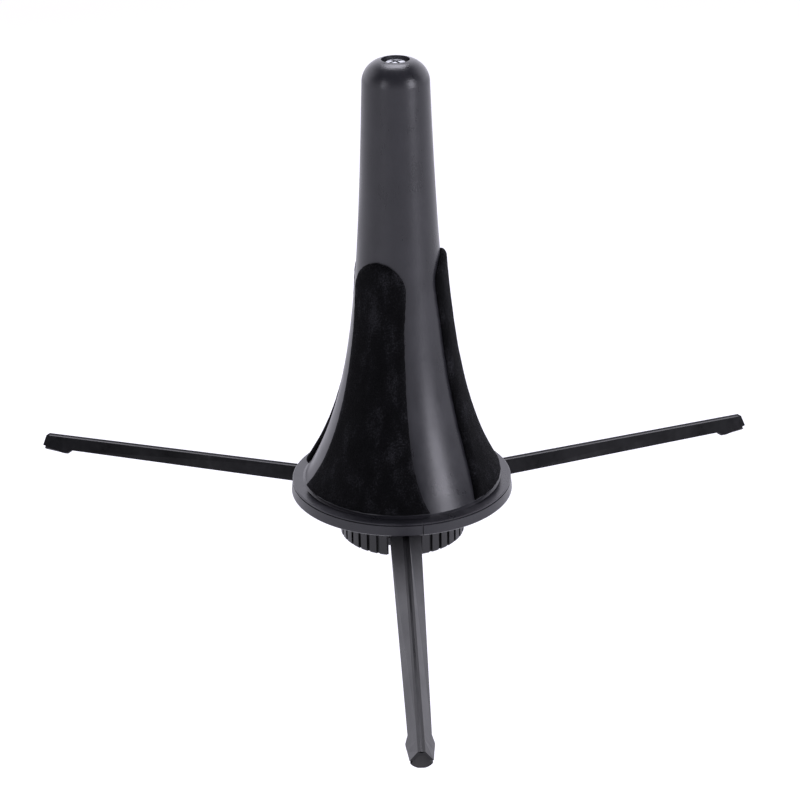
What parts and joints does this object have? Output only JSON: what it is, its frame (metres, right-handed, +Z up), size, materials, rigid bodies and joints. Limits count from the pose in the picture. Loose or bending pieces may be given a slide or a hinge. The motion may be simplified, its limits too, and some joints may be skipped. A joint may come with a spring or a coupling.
{
  "type": "wind instrument stand",
  "caption": "Folding tripod peg stand for a small woodwind: a bell-shaped peg with velvet pads on a grip hub whose legs fold down.",
  "frame": {"origin": "on the peg's axis, at the height of the floor that the three feet stand on", "axes": "+Z up along the peg's axis; the front leg points along -Y and +X is to the right of it"},
  "size_m": [0.2506, 0.217, 0.1595],
  "materials": {
    "peg_plastic": "satin moulded black plastic",
    "base_plastic": "satin moulded black plastic",
    "hub_plastic": "fine-grained black plastic",
    "washer_plastic": "natural slippery plastic",
    "velvet": "short black velvet pile",
    "black_steel": "satin black enamel",
    "plated_steel": "zinc plated",
    "spring_steel": "blackened",
    "insert_brass": "turned",
    "foot_rubber": "matt rubber"
  },
  "bodies": {
    "hub": {"hub_body": "hub_plastic", "hub_cap": "base_plastic", "hub_screws": "spring_steel", "threaded_insert": "insert_brass", "hinge_pin_front": "plated_steel", "hinge_pin_right": "plated_steel", "hinge_pin_left": "plated_steel"},
    "lift": {"thrust_washer": "washer_plastic"},
    "peg": {"cone_shell": "peg_plastic", "base_plate": "base_plastic", "pad_front": "velvet", "pad_right": "velvet", "pad_rear": "velvet", "tie_bolt": "plated_steel", "bolt_washer": "plated_steel", "retainer_clip": "spring_steel", "base_screws": "spring_steel"},
    "front_leg": {"leg_front": "black_steel", "foot_front": "foot_rubber"},
    "right_leg": {"leg_right": "black_steel", "foot_right": "foot_rubber"},
    "left_leg": {"leg_left": "black_steel", "foot_left": "foot_rubber"}
  },
  "joints": [
    {"name": "peg_lift", "type": "slide", "parent": "hub", "child": "lift", "axis": [0, 0, 1], "range_m": [0, 0.0064]},
    {"name": "peg_turn", "type": "hinge", "parent": "lift", "child": "peg", "pos_m": [0, 0, 0.0168], "axis": [0, 0, 1], "range_deg": [0, 2880]},
    {"name": "front_fold", "type": "hinge", "parent": "hub", "child": "front_leg", "pos_m": [0, -0.013, 0.014], "axis": [1, 0, 0], "range_deg": [0, 87]},
    {"name": "right_fold", "type": "hinge", "parent": "hub", "child": "right_leg", "pos_m": [0.01126, 0.0065, 0.014], "axis": [-0.5, 0.866, 0], "range_deg": [0, 87]},
    {"name": "left_fold", "type": "hinge", "parent": "hub", "child": "left_leg", "pos_m": [-0.01126, 0.0065, 0.014], "axis": [-0.5, -0.866, 0], "range_deg": [0, 87]}
  ],
  "couplings": [
    {"joint": "peg_lift", "follows": "peg_turn", "m_per_rad": 0.00012732}
  ]
}
